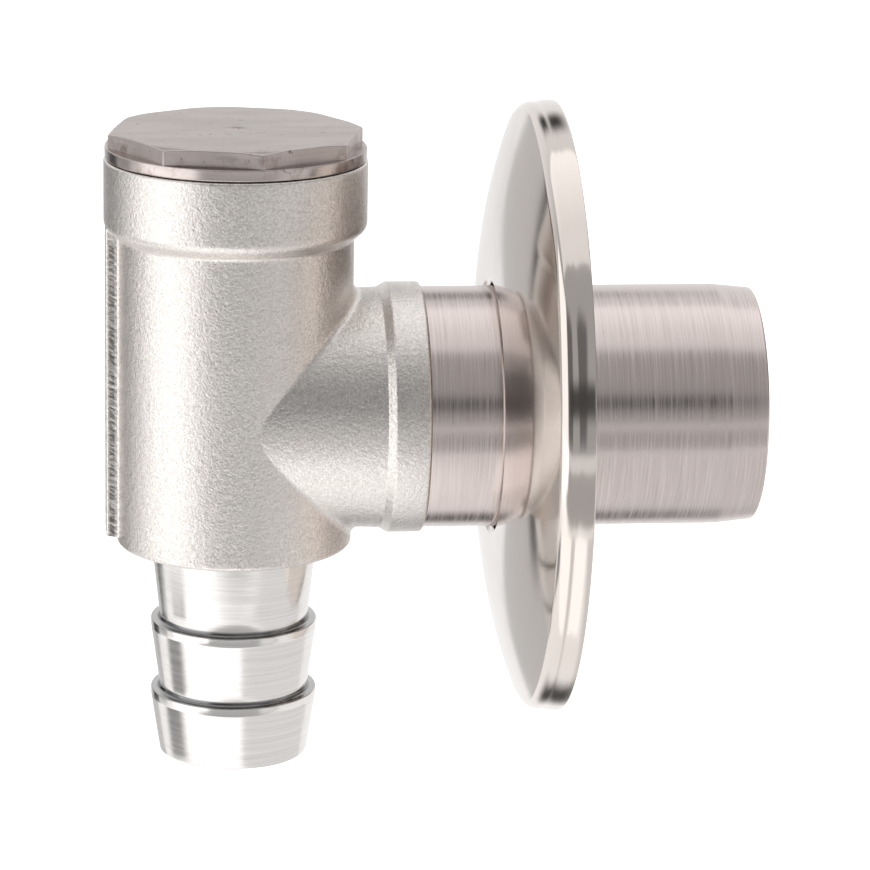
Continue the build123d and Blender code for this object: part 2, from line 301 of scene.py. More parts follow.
def valve_body():
    """The cast tee: its barrel, branch and creases as grids with shared borders, and its bores cut out.

    The barrel's front half runs from the crease's edge out to a straight border, ray by ray.
    The back half carries the gate, and rings of the same columns make the collar and the foot.
    """
    low = BARREL_FOOT + BARREL_EDGE
    lean = np.arctan2(COLLAR_R - BARREL_R, SLOPE_TOP - SLOPE_FOOT)
    high = SLOPE_FOOT - SLOPE_FOOT_FILLET * np.tan(lean / 2)
    ramp = 0.35
    levels = np.concatenate(
        [
            [low, GATE_BOTTOM - 0.15],
            np.linspace(GATE_BOTTOM, GATE_BOTTOM + ramp, 6),
            np.linspace(GATE_BOTTOM + ramp, high, 205)[1:],
        ]
    )
    side = np.pi / 2
    spread = np.linspace(-side, side, 49)

    # The border of the front half, once round: up one side, over the top, down the other and back underneath
    up = np.stack([np.full(len(levels) - 1, side), levels[:-1]], axis=1)
    over = np.stack([spread[::-1][:-1], np.full(len(spread) - 1, high)], axis=1)
    down = np.stack([np.full(len(levels) - 1, -side), levels[::-1][:-1]], axis=1)
    under = np.stack([spread[:-1], np.full(len(spread) - 1, low)], axis=1)
    border = np.concatenate([up, over, down, under])
    around = np.arctan2(BARREL_R * border[:, 0], border[:, 1])
    centre, on_barrel, on_branch = crease_centre(around)
    inner = np.stack([np.arctan2(on_barrel[:, 1], on_barrel[:, 0]), on_barrel[:, 2]], axis=1)
    t = np.linspace(0, 1, 14)[:, None, None]
    spot = inner + t * (border - inner)
    front = upright(spot[..., 1], BARREL_R, spot[..., 0])

    # The crease: an arc about the rolling ball's middle from the barrel to the branch
    t = np.linspace(0, 1, 11)[:, None, None]
    from_barrel, from_branch = on_barrel - centre, on_branch - centre
    between = np.arccos(np.clip((from_barrel * from_branch).sum(1) / CREASE**2, -1, 1))[None, :, None]
    bend = np.sin((1 - t) * between) * from_barrel + np.sin(t * between) * from_branch
    crease = centre + bend / np.sin(between) + np.array([VALVE_X, 0, 0])

    # The branch: its cone from the crease, then its collar and the end face
    t = np.linspace(0, 1, 13)[:, None]
    stop = BRANCH_CONE - 0.25
    along = on_branch[None, :, 0] + t * (stop - on_branch[None, :, 0])
    cone_r = BRANCH_ROOT_R + (BRANCH_R - BRANCH_ROOT_R) * along / BRANCH_CONE
    cone = outlet(VALVE_X + along, cone_r, around[None, :])
    end_r = BRANCH_ROOT_R + (BRANCH_R - BRANCH_ROOT_R) * stop / BRANCH_CONE
    neck = rounded(
        [
            (stop, end_r),
            (BRANCH_CONE, BRANCH_R),
            (BRANCH_COLLAR, BRANCH_COLLAR_R),
            (BRANCH_END, BRANCH_COLLAR_R),
            (BRANCH_END, SOCKET_R - 1.0),
        ],
        [0.2, 0.8, EDGE_BREAK],
    )
    collar = outlet(VALVE_X + neck[:, :1], neck[:, 1:], around[None, :])
    end_cap = outlet(VALVE_X + BRANCH_END, np.array([[SOCKET_R - 1.0], [0.0]]), around[None, :])

    # The back half of the barrel, with the gate standing on it between its two ends
    half = gate_profile()
    gate = np.concatenate([half, half[::-1][1:] * [1, -1]])
    first = np.arctan2(half[0, 1], half[0, 0])
    plain = np.linspace(side, first, 22)[:-1]
    rim = BARREL_R * np.stack([np.cos(plain), np.sin(plain)], axis=1)
    section = np.concatenate([rim, gate, rim[::-1] * [1, -1]])
    section_r = np.linalg.norm(section, axis=1)
    turn = np.arctan2(section[:, 1], section[:, 0]) % (2 * np.pi)
    flat_x = -(BARREL_R + GATE_PROUD)
    on_flat = np.abs(section[:, 0] - flat_x) < 0.02
    on_side = (np.abs(np.abs(section[:, 1]) - GATE_HALF) < 0.02) & ~on_flat

    def gate_cut(z, floor_r):
        """The section at each level, grown out of the barrel or slope and roughened: x, y and z of its points."""
        rise = np.clip((z - GATE_BOTTOM) / ramp, 0, 1)
        radius = np.maximum(BARREL_R + rise * (section_r - BARREL_R), floor_r)
        x, y = radius * np.cos(turn), radius * np.sin(turn)
        proud = rise * (section_r - floor_r > 0.2)
        x = x + proud * on_flat * saw_marks(section[:, 1], z)
        y = y - proud * on_side * np.sign(section[:, 1]) * saw_marks(section[:, 0], z)
        return np.stack(np.broadcast_arrays(VALVE_X + x, y, z), axis=-1)

    back = gate_cut(levels[:, None], BARREL_R)

    # Rings of the same columns: the foot below, and the slope and the cap's collar above
    columns = np.concatenate([spread[:-1], turn[:-1]])
    below = rounded(
        [(BARREL_R, low + 0.001), (BARREL_R, BARREL_FOOT), (TAIL_SOCKET_R - 1.0, BARREL_FOOT)],
        [BARREL_EDGE],
    )
    above = rounded(
        [
            (BARREL_R, high - 0.001),
            (BARREL_R, SLOPE_FOOT),
            (COLLAR_R, SLOPE_TOP),
            (COLLAR_R, COLLAR_TOP),
            (THREAD_R - 1.0, COLLAR_TOP),
        ],
        [SLOPE_FOOT_FILLET, SLOPE_TOP_FILLET, EDGE_BREAK],
        steps=8,
    )
    foot = upright(below[1:, 1:], below[1:, :1], columns[None, :])
    above = split_long(above, 0.4)
    head = upright(above[1:, 1:], above[1:, :1], columns[None, :])
    slope = above[1:, 1] < SLOPE_TOP + SLOPE_TOP_FILLET
    head[slope, len(spread) - 1 :] = gate_cut(above[1:][slope, 1:], above[1:][slope, :1])[:, :-1]
    foot_cap = upright(BARREL_FOOT, np.array([[TAIL_SOCKET_R - 1.0], [0.0]]), columns[None, :])
    head_cap = upright(COLLAR_TOP, np.array([[THREAD_R - 1.0], [0.0]]), columns[None, :])

    body = surface(
        "cast_body",
        [
            (front, False, True),
            (crease, False, True),
            (cone, False, True),
            (collar, False, True),
            (end_cap, False, True),
            (back, False, False),
            (foot, False, True),
            (head, False, True),
            (foot_cap, False, True),
            (head_cap, False, True),
        ],
        weld=4e-6,
    )
    return bored(body, [chamber_cutter(), passage_cutter(), socket_cutter()])


def thread_groove(depth, low, high, phase=0.0):
    """A helical groove as a change of radius: a triangle wave along the axis that moves on with the angle.

    It fades out at both ends of the thread.
    """

    def groove(angle, along):
        wave = (along / THREAD_PITCH - angle / (2 * np.pi) + phase) % 1.0
        fade = np.clip(np.minimum(along - low, high - along) / 0.8, 0, 1)
        return depth * (1 - np.abs(2 * wave - 1)) * fade

    return groove


def chamber_cutter():
    """The space inside the barrel: the cap's seal seat and thread, the chamber, its floor and the tail's socket."""
    thread = np.stack([np.linspace(SKIRT_TOP, THREAD_END, 54), np.full(54, THREAD_R)], axis=1)
    profile = np.concatenate(
        [
            [(COLLAR_TOP + 1, 0.0), (COLLAR_TOP + 1, COUNTERBORE_R), (SKIRT_TOP, COUNTERBORE_R)],
            thread,
            [
                (THREAD_END, CHAMBER_R),
                (FLOOR_TOP, CHAMBER_R),
                (FLOOR_TOP, FLOOR_BORE_R),
                (TAIL_TOP, FLOOR_BORE_R),
                (TAIL_TOP, TAIL_SOCKET_R),
                (BARREL_FOOT - 1, TAIL_SOCKET_R),
                (BARREL_FOOT - 1, 0.0),
            ],
        ]
    )
    groove = thread_groove(0.45, THREAD_END, SKIRT_TOP)

    def on_thread(angle, along):
        return np.where(np.isin(along, thread[:, 0]), groove(angle, along), 0.0)

    return surface("chamber", [(turned(profile, upright, 144, on_thread), False, True)])


def passage_cutter():
    """The cored way into the branch: a round bore whose bottom is flat, level with the chamber's floor."""
    angle = np.linspace(0, 2 * np.pi, 120, endpoint=False)
    y, z = PASSAGE_R * np.sin(angle), np.maximum(PASSAGE_R * np.cos(angle), FLOOR_TOP)
    along = np.array([0.0, 0.0, SOCKET_FLOOR + 0.5, SOCKET_FLOOR + 0.5])[:, None]
    size = np.array([0.0, 1.0, 1.0, 0.0])[:, None]
    points = np.stack(np.broadcast_arrays(VALVE_X + along, size * y, size * z), axis=-1)
    return surface("passage", [(points, False, True)])


def socket_cutter():
    """The counterbore that takes the outlet pipe's nose."""
    profile = [(SOCKET_FLOOR, 0.0), (SOCKET_FLOOR, SOCKET_R), (BRANCH_END + 1, SOCKET_R), (BRANCH_END + 1, 0.0)]
    profile = np.array(profile) + [VALVE_X, 0]
    return surface("socket", [(turned(profile, outlet, 144), False, True)])


# Screw cap

HEAD_FLAT = 15.65
HEAD_TOP_R = 15.95
HEAD_TURN = np.radians(-36.8)
HEAD_BEVEL = np.radians(15)
HEAD_TOP = 37.5
HEAD_BASE = 35.35
FLANGE_BASE = 33.8
FLANGE_R = 17.1
NECK_R = 13.85
SKIRT_R = 14.75
SKIRT_BORE_R = 12.25
SKIRT_END = 25.7
ROOF = 33.0
CENTRE_MARK_R = 0.45


def octagon(corner_r, flat=HEAD_FLAT):
    """Points round an eight-sided outline whose corners are small arcs, as (angle, radius) from its middle.

    It is a smaller octagon, inset by the corner radius, grown back by that radius.
    """
    inset = (flat - corner_r) / np.cos(np.pi / 8)
    straight = np.linspace(0, 1, 9)[1:-1, None]
    sides = []
    for side in range(8):
        corner = HEAD_TURN + side * np.pi / 4
        sweep = np.linspace(corner - np.pi / 8, corner + np.pi / 8, 6)[:, None]
        middle = inset * np.array([np.cos(corner), np.sin(corner)])
        arc = middle + corner_r * np.concatenate([np.cos(sweep), np.sin(sweep)], axis=1)
        after = corner + np.pi / 4
        start = inset * np.array([np.cos(after), np.sin(after)])
        reach = corner_r * np.array([np.cos(after - np.pi / 8), np.sin(after - np.pi / 8)])
        sides += [arc, arc[-1] + straight * (start + reach - arc[-1])]
    outline = np.concatenate(sides)
    return np.arctan2(outline[:, 1], outline[:, 0]), np.linalg.norm(outline, axis=1)


def screw_cap():
    """The cap as one grid: rows run from the roof inside, down and up the skirt, over the flange and the head.

    The flange and skirt rows are circles and the head's rows are octagons, all at the octagon's angles.
    The head's top drops at the bevel's slope wherever the octagon reaches past the round top.
    """
    angle, head_r = octagon(0.22)
    count = len(angle)

    def ring(along, radius):
        return upright(np.full(count, along), np.broadcast_to(radius, count), angle)

    rows = [ring(ROOF, 0.0), ring(ROOF, SKIRT_BORE_R - 0.6)]
    inside = rounded(
        [(SKIRT_BORE_R - 0.6, ROOF), (SKIRT_BORE_R, ROOF), (SKIRT_BORE_R, SKIRT_END), (SKIRT_R - 0.4, SKIRT_END)],
        [0.5, 0.15],
    )
    rows += [ring(z, r) for r, z in inside[1:]]
    groove = thread_groove(-0.62, SKIRT_END + 0.2, SKIRT_TOP + 0.1, 0.5)
    for z in np.linspace(SKIRT_END + 0.4, SKIRT_TOP, 56):
        rows.append(upright(np.full(count, z), SKIRT_R + groove(angle, z), angle))
    flange = rounded(
        [
            (NECK_R, SKIRT_TOP),
            (NECK_R, FLANGE_BASE),
            (FLANGE_R, FLANGE_BASE),
            (FLANGE_R, HEAD_BASE),
            (HEAD_FLAT + 0.6, HEAD_BASE),
        ],
        [0.1, 0.25, 0.12],
        steps=4,
    )
    rows += [ring(z, r) for r, z in flange[:-1]]
    rows.append(upright(np.full(count, HEAD_BASE), np.minimum(head_r, FLANGE_R - 0.1), angle))
    drop = np.maximum(head_r - HEAD_TOP_R, 0) * np.tan(HEAD_BEVEL)
    edge = HEAD_TOP - drop
    for below, within in ((0.16, 0.0), (0.075, 0.02), (0.02, 0.075)):
        rows.append(upright(edge - below, head_r - within, angle))
    inner = np.minimum(head_r - 0.16, HEAD_TOP_R)
    rows.append(upright(HEAD_TOP - np.maximum(head_r - 0.16 - HEAD_TOP_R, 0) * np.tan(HEAD_BEVEL), head_r - 0.16, angle))
    rows.append(upright(np.full(count, HEAD_TOP), inner - 0.02, angle))
    for radius in (14.0, 11.0, 8.0, 5.0, 2.0, CENTRE_MARK_R + 0.08):
        rows.append(ring(HEAD_TOP, radius))
    rows += [ring(HEAD_TOP - 0.06, CENTRE_MARK_R - 0.03), ring(HEAD_TOP - CENTRE_MARK_R, 0.0)]
    points = np.stack(rows)
    return even_faces(surface("cap_with_octagon", [(points, False, True)], sharp_from=40.0))


# Turned pieces

TAIL_BORE_R = 8.5
TAIL_NOSE_R = 9.9
TAIL_THREAD_R = 11.95
TAIL_SHOULDER = -13.9
SHANK_R = 10.9
BARB_R = 11.04
BARB_FOOT_R = 9.85
BARB_TOPS = (-28.6, -38.24)
BARB_LAND = 1.1
TAIL_END = -47.04

PIPE_R = 16.0
PIPE_BORE_R = 13.0
NOSE_R = 14.6
NOSE_TIP = -24.96
PIPE_SHOULDER = -17.91
GROOVE = (-2.6, -1.6)
GROOVE_R = 15.7
SPIGOT_END = 26.5
LEAD_IN = 21.5
LEAD_IN_R = 15.5


def hose_tail():
    """The hose tail: a threaded nose in the body, a tapered shank and two barbs with a short level land each."""
    outline = [
        (TAIL_TOP, TAIL_BORE_R),
        (TAIL_TOP, TAIL_NOSE_R),
        (TAIL_SHOULDER, TAIL_NOSE_R),
        (TAIL_SHOULDER, TAIL_THREAD_R),
        (BARREL_FOOT, TAIL_THREAD_R),
        (BARREL_FOOT, SHANK_R),
        (BARREL_FOOT - BARB_LAND, SHANK_R),
        (BARB_TOPS[0], BARB_FOOT_R),
    ]
    radii = [0.1, 0.1, 0.1, 0.1, 0.05, 1.5, 0.45]
    for top, foot in zip(BARB_TOPS, (BARB_TOPS[1], TAIL_END)):
        outline += [(top, BARB_R), (top - BARB_LAND, BARB_R), (foot, BARB_FOOT_R)]
        radii += [0.13, 1.5, 0.45]
    radii[-1] = 0.3
    outline += [(TAIL_END, TAIL_BORE_R), (TAIL_TOP, TAIL_BORE_R)]
    radii += [0.2]
    profile = split_long(rounded(outline, radii), 1.5)[:-1]
    piece = surface("barbed_tail", [(turned(profile, upright, 256), True, True)], turning_map=True)
    return even_faces(piece)


def outlet_pipe():
    """The outlet pipe: a nose in the branch, the long tube with its stop groove, and a tapered lead-in."""
    outline = [
        (NOSE_TIP, PIPE_BORE_R),
        (NOSE_TIP, NOSE_R),
        (PIPE_SHOULDER, NOSE_R),
        (PIPE_SHOULDER, PIPE_R),
        (GROOVE[0], PIPE_R),
        (GROOVE[0], GROOVE_R),
        (GROOVE[1], GROOVE_R),
        (GROOVE[1], PIPE_R),
        (LEAD_IN, PIPE_R),
        (SPIGOT_END, LEAD_IN_R),
        (SPIGOT_END, PIPE_BORE_R),
        (NOSE_TIP, PIPE_BORE_R),
    ]
    radii = [0.2, 0.1, 0.18, 0.05, 0.05, 0.05, 0.05, 4.0, 0.35, 0.2]
    profile = split_long(rounded(outline, radii), 2.0)[:-1]
    piece = surface("brushed_pipe", [(turned(profile, outlet, 288), True, True)], turning_map=True)
    return even_faces(piece)


# Wall rosette

ROSETTE_FRONT = -8.5
ROSETTE_SHEET = 0.7
ROSETTE_FLAT_R = 17.4
ROSETTE_EDGE = (-4.45, 39.2)
ROSETTE_ROLL = (-2.6, 40.38)
ROSETTE_VALLEY = (-1.9, 40.45)
ROSETTE_LIP = (-0.15, 40.62)
ROSETTE_HOLE_R = 16.35
ROSETTE_BEND = 0.9
POCKET_START = -6.1
POCKET_END = -4.1
POCKET_R = 18.05
GRIP_RING_R = 17.05


def tangent_arc(start, heading, end, steps):
    """Points of the arc that leaves a start along a heading and passes through an end, and its heading there.

    Its centre lies on the line square to the heading, as far from the start as from the end.
    """
    start, heading, end = (np.asarray(v, float) for v in (start, heading, end))
    heading = heading / np.linalg.norm(heading)
    square = np.array([-heading[1], heading[0]])
    chord = end - start
    radius = (chord @ chord) / (2 * (chord @ square))
    centre = start + radius * square
    turn = 2 * np.arctan2(chord @ square, chord @ heading)
    t = turn * np.linspace(0, 1, steps + 1)[:, None]
    points = centre + radius * (np.sin(t) * heading - np.cos(t) * square)
    return points, np.cos(turn) * heading + np.sin(turn) * square


def rosette():
    """The pressed sheet: its outer line from the hole's bend over the flat, dome and valley to the lip.

    The back line is the outer line moved square to itself by the sheet's thickness.
    The neck and its rolled pocket for the grip ring are turned with it.
    """
    crown, on = tangent_arc((ROSETTE_FRONT, ROSETTE_FLAT_R), (0, 1), ROSETTE_EDGE, 56)
    roll, on = tangent_arc(ROSETTE_EDGE, on, ROSETTE_ROLL, 18)
    dip, on = tangent_arc(ROSETTE_ROLL, on, ROSETTE_VALLEY, 7)
    lip, on = tangent_arc(ROSETTE_VALLEY, on, ROSETTE_LIP, 10)
    nose, _ = tangent_arc(ROSETTE_LIP, on, (0.0, ROSETTE_LIP[1] - 0.12), 4)
    bend = rounded([(POCKET_START, ROSETTE_HOLE_R), (ROSETTE_FRONT, ROSETTE_HOLE_R), crown[0]], [ROSETTE_BEND], 12)
    outer = np.concatenate([bend, crown[1:], roll[1:], dip[1:], lip[1:]])
    along = np.gradient(outer, axis=0)
    square = np.stack([along[:, 1], -along[:, 0]], axis=1)
    square /= np.linalg.norm(square, axis=1)[:, None]
    bent = len(bend) - 1
    inner = outer[bent:] + ROSETTE_SHEET * square[bent:]
    inner = inner[inner[:, 0] < 0]
    lip_back = np.array([[0.0, inner[-1, 1]]])
    pocket = rounded(
        [
            inner[0],
            (ROSETTE_FRONT + ROSETTE_SHEET, ROSETTE_HOLE_R + ROSETTE_SHEET),
            (POCKET_START - ROSETTE_SHEET, ROSETTE_HOLE_R + ROSETTE_SHEET),
            (POCKET_START - ROSETTE_SHEET, POCKET_R + ROSETTE_SHEET),
            (POCKET_END + ROSETTE_SHEET, POCKET_R + ROSETTE_SHEET),
            (POCKET_END + ROSETTE_SHEET, GRIP_RING_R),
            (POCKET_END, GRIP_RING_R),
            (POCKET_END, POCKET_R),
            (POCKET_START, POCKET_R),
            (POCKET_START, ROSETTE_HOLE_R),
        ],
        [0.35, 0.1, 0.65, 0.65, 0.1, 0.1, 0.1, 0.1],
    )
    profile = np.concatenate([outer, nose[1:], lip_back, inner[::-1], pocket[1:-1]])
    piece = surface("pressed_rosette", [(turned(profile, outlet, 384), True, True)], turning_map=True)
    return even_faces(piece)


# Check ball

BALL_R = 10.5
BALL_Z = -1.25


def ball():
    """The ball's rubber coat: a sphere a hair under size, with the fine line that its mould left round the middle."""
    tilt = np.linspace(0, np.pi, 121)[:, None]
    turn = np.linspace(0, 2 * np.pi, 160, endpoint=False)[None, :]
    line = np.exp(-(((tilt - np.pi / 2) * BALL_R / 0.16) ** 2))
    radius = BALL_R - 0.05 + 0.05 * line
    return surface("rubber_ball", [(upright(BALL_Z + radius * np.cos(tilt), radius * np.sin(tilt), turn), False, True)])


# Finishes


class Finish:
    """A metal, rubber or plastic finish: one material with a Principled shader and short ways to wire it."""

    def __init__(self, name, colour, metallic, roughness):
        self.material = bpy.data.materials.new(name)
        self.material.use_nodes = True
        self.tree = self.material.node_tree
        self.shader = self.tree.nodes["Principled BSDF"]
        self.shader.inputs["Base Color"].default_value = (*colour, 1.0)
        self.shader.inputs["Metallic"].default_value = metallic
        self.shader.inputs["Roughness"].default_value = roughness
        self.place = self.put("ShaderNodeTexCoord").outputs["Object"]

    def put(self, kind, sockets=None, **settings):
        """Adds a node, sets its options, and feeds each named or numbered socket a value or a link."""
        node = self.tree.nodes.new(kind)
        for option, value in settings.items():
            setattr(node, option, value)
        for socket, value in (sockets or {}).items():
            if isinstance(value, bpy.types.NodeSocket):
                self.tree.links.new(value, node.inputs[socket])
            else:
                node.inputs[socket].default_value = value
        return node

    def stretched(self, x, y, z):
        """Object coordinates multiplied along each axis, so that a pattern runs long where the number is small."""
        return self.put("ShaderNodeMapping", {"Vector": self.place, "Scale": (x, y, z)}).outputs["Vector"]

    def noise(self, vector, scale, detail=2.0, rough=0.5, distortion=0.0):
        sockets = {"Vector": vector, "Scale": scale, "Detail": detail, "Roughness": rough, "Distortion": distortion}
        return self.put("ShaderNodeTexNoise", sockets).outputs["Fac"]

    def grains(self, vector, scale, feature="F1"):
        return self.put("ShaderNodeTexVoronoi", {"Vector": vector, "Scale": scale}, feature=feature).outputs["Distance"]

    def mapped(self, value, low, high, to_low=0.0, to_high=1.0):
        """A value stretched from one range to another and held inside it."""
        sockets = {"Value": value, "From Min": low, "From Max": high, "To Min": to_low, "To Max": to_high}
        return self.put("ShaderNodeMapRange", sockets, clamp=True).outputs["Result"]

    def work(self, operation, a, b):
        return self.put("ShaderNodeMath", {0: a, 1: b}, operation=operation).outputs["Value"]

    def blend(self, factor, a, b, how="MIX"):
        """Two colours mixed by a factor; a colour is three numbers or a link."""
        a, b = (v if isinstance(v, bpy.types.NodeSocket) else (*v, 1.0) for v in (a, b))
        sockets = {"Factor": factor, "A": a, "B": b}
        node = self.tree.nodes.new("ShaderNodeMix")
        node.data_type = "RGBA"
        node.blend_type = how
        ports = {"Factor": node.inputs[0], "A": node.inputs[6], "B": node.inputs[7]}
        for key, value in sockets.items():
            if isinstance(value, bpy.types.NodeSocket):
                self.tree.links.new(value, ports[key])
            else:
                ports[key].default_value = value
        return node.outputs[2]

    def colour(self, link):
        self.tree.links.new(link, self.shader.inputs["Base Color"])

    def rough(self, link):
        self.tree.links.new(link, self.shader.inputs["Roughness"])

    def relief(self, *layers):
        """Bumps laid on each other, each given as (height link, depth in millimetres, strength)."""
        normal = None
        for height, depth, strength in layers:
            sockets = {"Height": height, "Distance": depth * MM, "Strength": strength}
            if normal is not None:
                sockets["Normal"] = normal
            normal = self.put("ShaderNodeBump", sockets).outputs["Normal"]
        self.tree.links.new(normal, self.shader.inputs["Normal"])

    def brushed_round(self, amount):
        """Reflections drawn out across the turning marks, which run along u of the turning map."""
        tangent = self.put("ShaderNodeTangent", direction_type="UV_MAP", uv_map="turning").outputs["Tangent"]
        self.shader.inputs["Anisotropic"].default_value = amount
        self.tree.links.new(tangent, self.shader.inputs["Tangent"])


def cast_steel():
    """Bead-blasted stainless casting: pearly grey, fine pitted grain with glints, and slow cloudy patches."""
    steel = Finish("bead-blasted cast steel", (0.75, 0.717, 0.688), 1.0, 0.36)
    fine = steel.noise(steel.place, 3400, 2.0, 0.6)
    coarse = steel.noise(steel.place, 1500, 3.0, 0.6)
    cloud = steel.noise(steel.place, 120, 3.0, 0.55)
    pits = steel.grains(steel.place, 2300)
    tone = steel.blend(steel.mapped(fine, 0.32, 0.68), (0.63, 0.59, 0.563), (0.87, 0.829, 0.793))
    tone = steel.blend(steel.mapped(pits, 0.0, 0.35), (0.5, 0.478, 0.458), tone)
    tone = steel.blend(steel.mapped(cloud, 0.35, 0.7, 0.0, 0.5), tone, (0.75, 0.712, 0.683))
    # Slanting saw scratches down the middle of the gate's side
    slant = steel.put(
        "ShaderNodeMapping",
        {"Vector": steel.place, "Rotation": (0.0, 0.45, 0.0), "Scale": (1 / 500, 1 / 500, 1 / 3000)},
        vector_type="TEXTURE",
    ).outputs["Vector"]
    x = steel.put("ShaderNodeSeparateXYZ", {0: steel.place}).outputs
    out = steel.work("SUBTRACT", (VALVE_X - BARREL_R) * MM, x["X"])
    inside = steel.work("MULTIPLY", steel.mapped(out, 0.28 * MM, 0.5 * MM), steel.mapped(out, 1.0 * MM, 1.2 * MM, 1, 0))
    inside = steel.work("MULTIPLY", inside, steel.mapped(x["Z"], 22.5 * MM, 23.2 * MM, 1, 0))
    scratch = steel.work("MULTIPLY", inside, steel.mapped(steel.noise(slant, 1.0, 2.0, 0.6), 0.40, 0.58, 0.15, 0.85))
    tone = steel.blend(scratch, tone, (0.14, 0.127, 0.119))
    steel.colour(tone)
    steel.rough(steel.mapped(coarse, 0.3, 0.7, 0.30, 0.42))
    steel.relief((coarse, 0.10, 0.8), (fine, 0.07, 0.8))
    return steel.material


def cap_steel():
    """Satin faced steel, warm grey, with faint milling lines, scratches on the flats and small brown spots."""
    steel = Finish("satin cap steel", (0.52, 0.461, 0.439), 1.0, 0.34)
    lines = steel.noise(steel.stretched(60, 60, 3200), 1.0, 3.0, 0.6)
    haze = steel.noise(steel.stretched(90, 260, 200), 1.0, 3.0, 0.5)
    spots = steel.noise(steel.place, 900, 2.0, 0.5)
    tone = steel.blend(steel.mapped(haze, 0.35, 0.65), (0.5, 0.442, 0.421), (0.58, 0.517, 0.495))
    tone = steel.blend(steel.mapped(lines, 0.35, 0.7, 0.0, 0.35), tone, (0.4, 0.348, 0.328))
    tone = steel.blend(steel.mapped(spots, 0.68, 0.76), tone, (0.2, 0.141, 0.111))
    height = steel.put("ShaderNodeSeparateXYZ", {0: steel.place}).outputs["Z"]
    stains = steel.mapped(steel.noise(steel.place, 210, 4.0, 0.65), 0.50, 0.66, 0.0, 0.75)
    stains = steel.work("MULTIPLY", stains, steel.mapped(height, 36.6 * MM, 37.3 * MM, 1.0, 0.12))
    tone = steel.blend(stains, tone, (0.24, 0.179, 0.153))
    steel.colour(tone)
    steel.rough(steel.mapped(height, 35.0 * MM, 35.6 * MM, 0.20, 0.36))
    steel.relief((lines, 0.012, 0.35))
    return steel.material


def turned_steel():
    """Bright turned steel: fine tool marks round the hose tail, almost a mirror along them, with painted shade in a
    dark ring above each barb.
    """
    steel = Finish("bright turned steel", (0.78, 0.756, 0.735), 1.0, 0.13)
    marks = steel.noise(steel.stretched(40, 40, 5200), 1.0, 3.0, 0.65)
    wide = steel.noise(steel.stretched(60, 60, 1400), 1.0, 2.0, 0.5)
    tone = steel.blend(steel.mapped(marks, 0.3, 0.7), (0.7, 0.678, 0.659), (0.82, 0.795, 0.774))
    height = steel.put("ShaderNodeSeparateXYZ", {0: steel.place}).outputs["Z"]
    # Painted shade: a blue-black ring in the undercut just above each barb's ledge, standing in for the dark that the
    # ledge shows
    for top in BARB_TOPS:
        from_painted_shade = steel.work("ABSOLUTE", steel.work("SUBTRACT", height, (top + 0.27) * MM), 0.0)
        tone = steel.blend(steel.mapped(from_painted_shade, 0.16 * MM, 0.42 * MM, 0.85, 0.0), tone, (0.1, 0.107, 0.115))
    steel.colour(tone)
    steel.rough(steel.mapped(wide, 0.3, 0.7, 0.09, 0.20))
    steel.relief((wide, 0.010, 0.25), (marks, 0.005, 0.35))
    steel.brushed_round(0.45)
    return steel.material


def pipe_steel():
    """Pipe brushed round its axis: fine streaks with a warm cast, broken up along the way round."""
    steel = Finish("round-brushed pipe steel", (0.64, 0.567, 0.546), 1.0, 0.25)
    streaks = steel.noise(steel.stretched(4200, 70, 70), 1.0, 3.0, 0.7)
    bands = steel.noise(steel.stretched(900, 45, 45), 1.0, 3.0, 0.6)
    tone = steel.blend(steel.mapped(streaks, 0.28, 0.72), (0.52, 0.456, 0.437), (0.74, 0.66, 0.637))
    tone = steel.blend(steel.mapped(bands, 0.35, 0.7, 0.0, 0.4), tone, (0.58, 0.502, 0.482))
    steel.colour(tone)
    steel.rough(steel.mapped(streaks, 0.3, 0.7, 0.14, 0.27))
    steel.relief((bands, 0.012, 0.30), (streaks, 0.012, 0.45))
    steel.brushed_round(0.65)
    return steel.material


def polished_steel():
    """Mirror-polished sheet with a faint haze from polishing."""
    steel = Finish("polished rosette steel", (0.69, 0.63, 0.59), 1.0, 0.11)
    haze = steel.noise(steel.place, 160, 3.0, 0.6)
    steel.rough(steel.mapped(haze, 0.35, 0.75, 0.09, 0.14))
    wave = steel.noise(steel.place, 45, 1.0, 0.4)
    steel.relief((wave, 0.02, 0.25))
    steel.brushed_round(0.3)
    return steel.material


def seal_rubber():
    """Black seal rubber with a dull bloom."""
    rubber = Finish("seal rubber", (0.018, 0.018, 0.019), 0.0, 0.55)
    bloom = rubber.noise(rubber.place, 700, 3.0, 0.6)
    rubber.colour(rubber.blend(rubber.mapped(bloom, 0.4, 0.7), (0.014, 0.014, 0.015), (0.04, 0.04, 0.042)))
    rubber.rough(rubber.mapped(bloom, 0.3, 0.7, 0.45, 0.65))
    rubber.relief((bloom, 0.01, 0.3))
    return rubber.material


def ball_rubber():
    """The ball's moulded rubber, dark grey with a fine matt grain."""
    rubber = Finish("ball rubber", (0.035, 0.036, 0.038), 0.0, 0.5)
    grain = rubber.noise(rubber.place, 1800, 2.0, 0.5)
    rubber.colour(rubber.blend(rubber.mapped(grain, 0.3, 0.7), (0.028, 0.029, 0.031), (0.05, 0.051, 0.054)))
    rubber.relief((grain, 0.01, 0.3))
    return rubber.material


def moulded_plastic(name, colour):
    """Moulded plastic with a slight unevenness in tone and a fine satin grain."""
    plastic = Finish(name, colour, 0.0, 0.38)
    tone = plastic.noise(plastic.place, 260, 3.0, 0.5)
    dark = tuple(0.93 * c for c in colour)
    plastic.colour(plastic.blend(plastic.mapped(tone, 0.3, 0.7), dark, colour))
    plastic.relief((plastic.noise(plastic.place, 2600, 1.0, 0.5), 0.006, 0.3))
    return plastic.material


def dress(thing, material):
    """Gives a piece or a node of the frame one finish all over."""
    thing.data.materials.clear()
    thing.data.materials.append(material)
    thing.data.polygons.foreach_set("material_index", np.zeros(len(thing.data.polygons), np.int32))
    return thing


# The pieces of the valve, each on its body and in the place of its node

